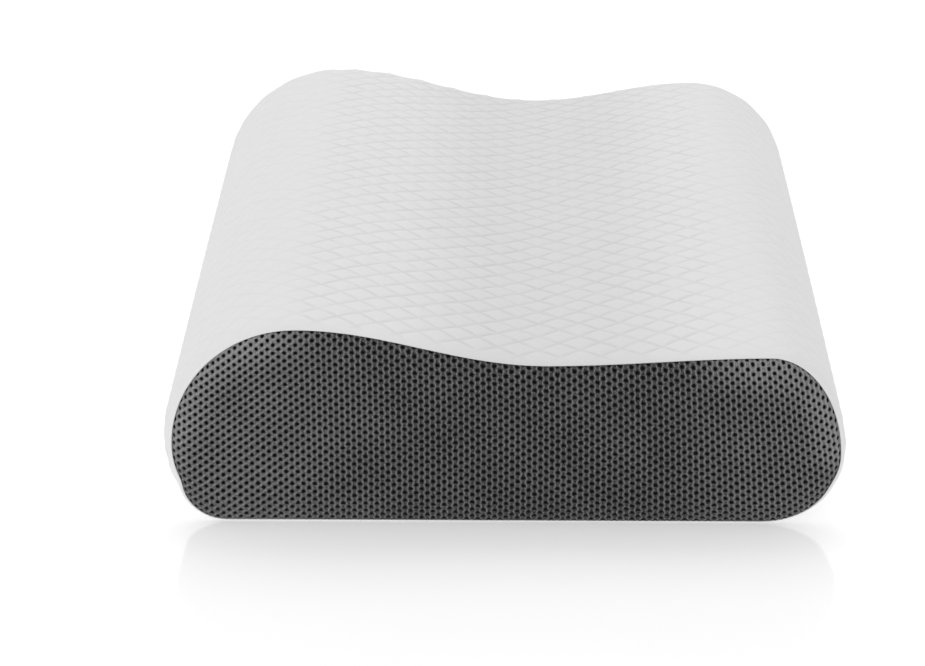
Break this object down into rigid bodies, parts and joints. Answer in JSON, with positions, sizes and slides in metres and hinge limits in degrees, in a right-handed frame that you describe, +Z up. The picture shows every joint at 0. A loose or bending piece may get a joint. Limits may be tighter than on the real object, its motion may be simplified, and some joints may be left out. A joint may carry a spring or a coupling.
{
  "type": "contoured cervical pillow",
  "caption": "Contoured neck pillow with a high lobe, a dip and a low lobe, in a diamond-quilted white knit cover with dark grey spacer-mesh end panels.",
  "frame": {"origin": "on the surface it rests on, under the middle of the pillow", "axes": "+Y along the pillow's length, from the near end panel to the far one; +X across it, from the high lobe to the low lobe; +Z up"},
  "size_m": [0.3997, 0.6, 0.125],
  "materials": {
    "white_quilted_knit": "soft white double knit with raised diamond quilting",
    "grey_spacer_mesh": "dark grey three-dimensional spacer mesh with small staggered holes"
  },
  "bodies": {
    "root": {"quilted_cover_body": "white_quilted_knit", "near_mesh_panel": "grey_spacer_mesh", "far_mesh_panel": "grey_spacer_mesh"}
  },
  "joints": []
}
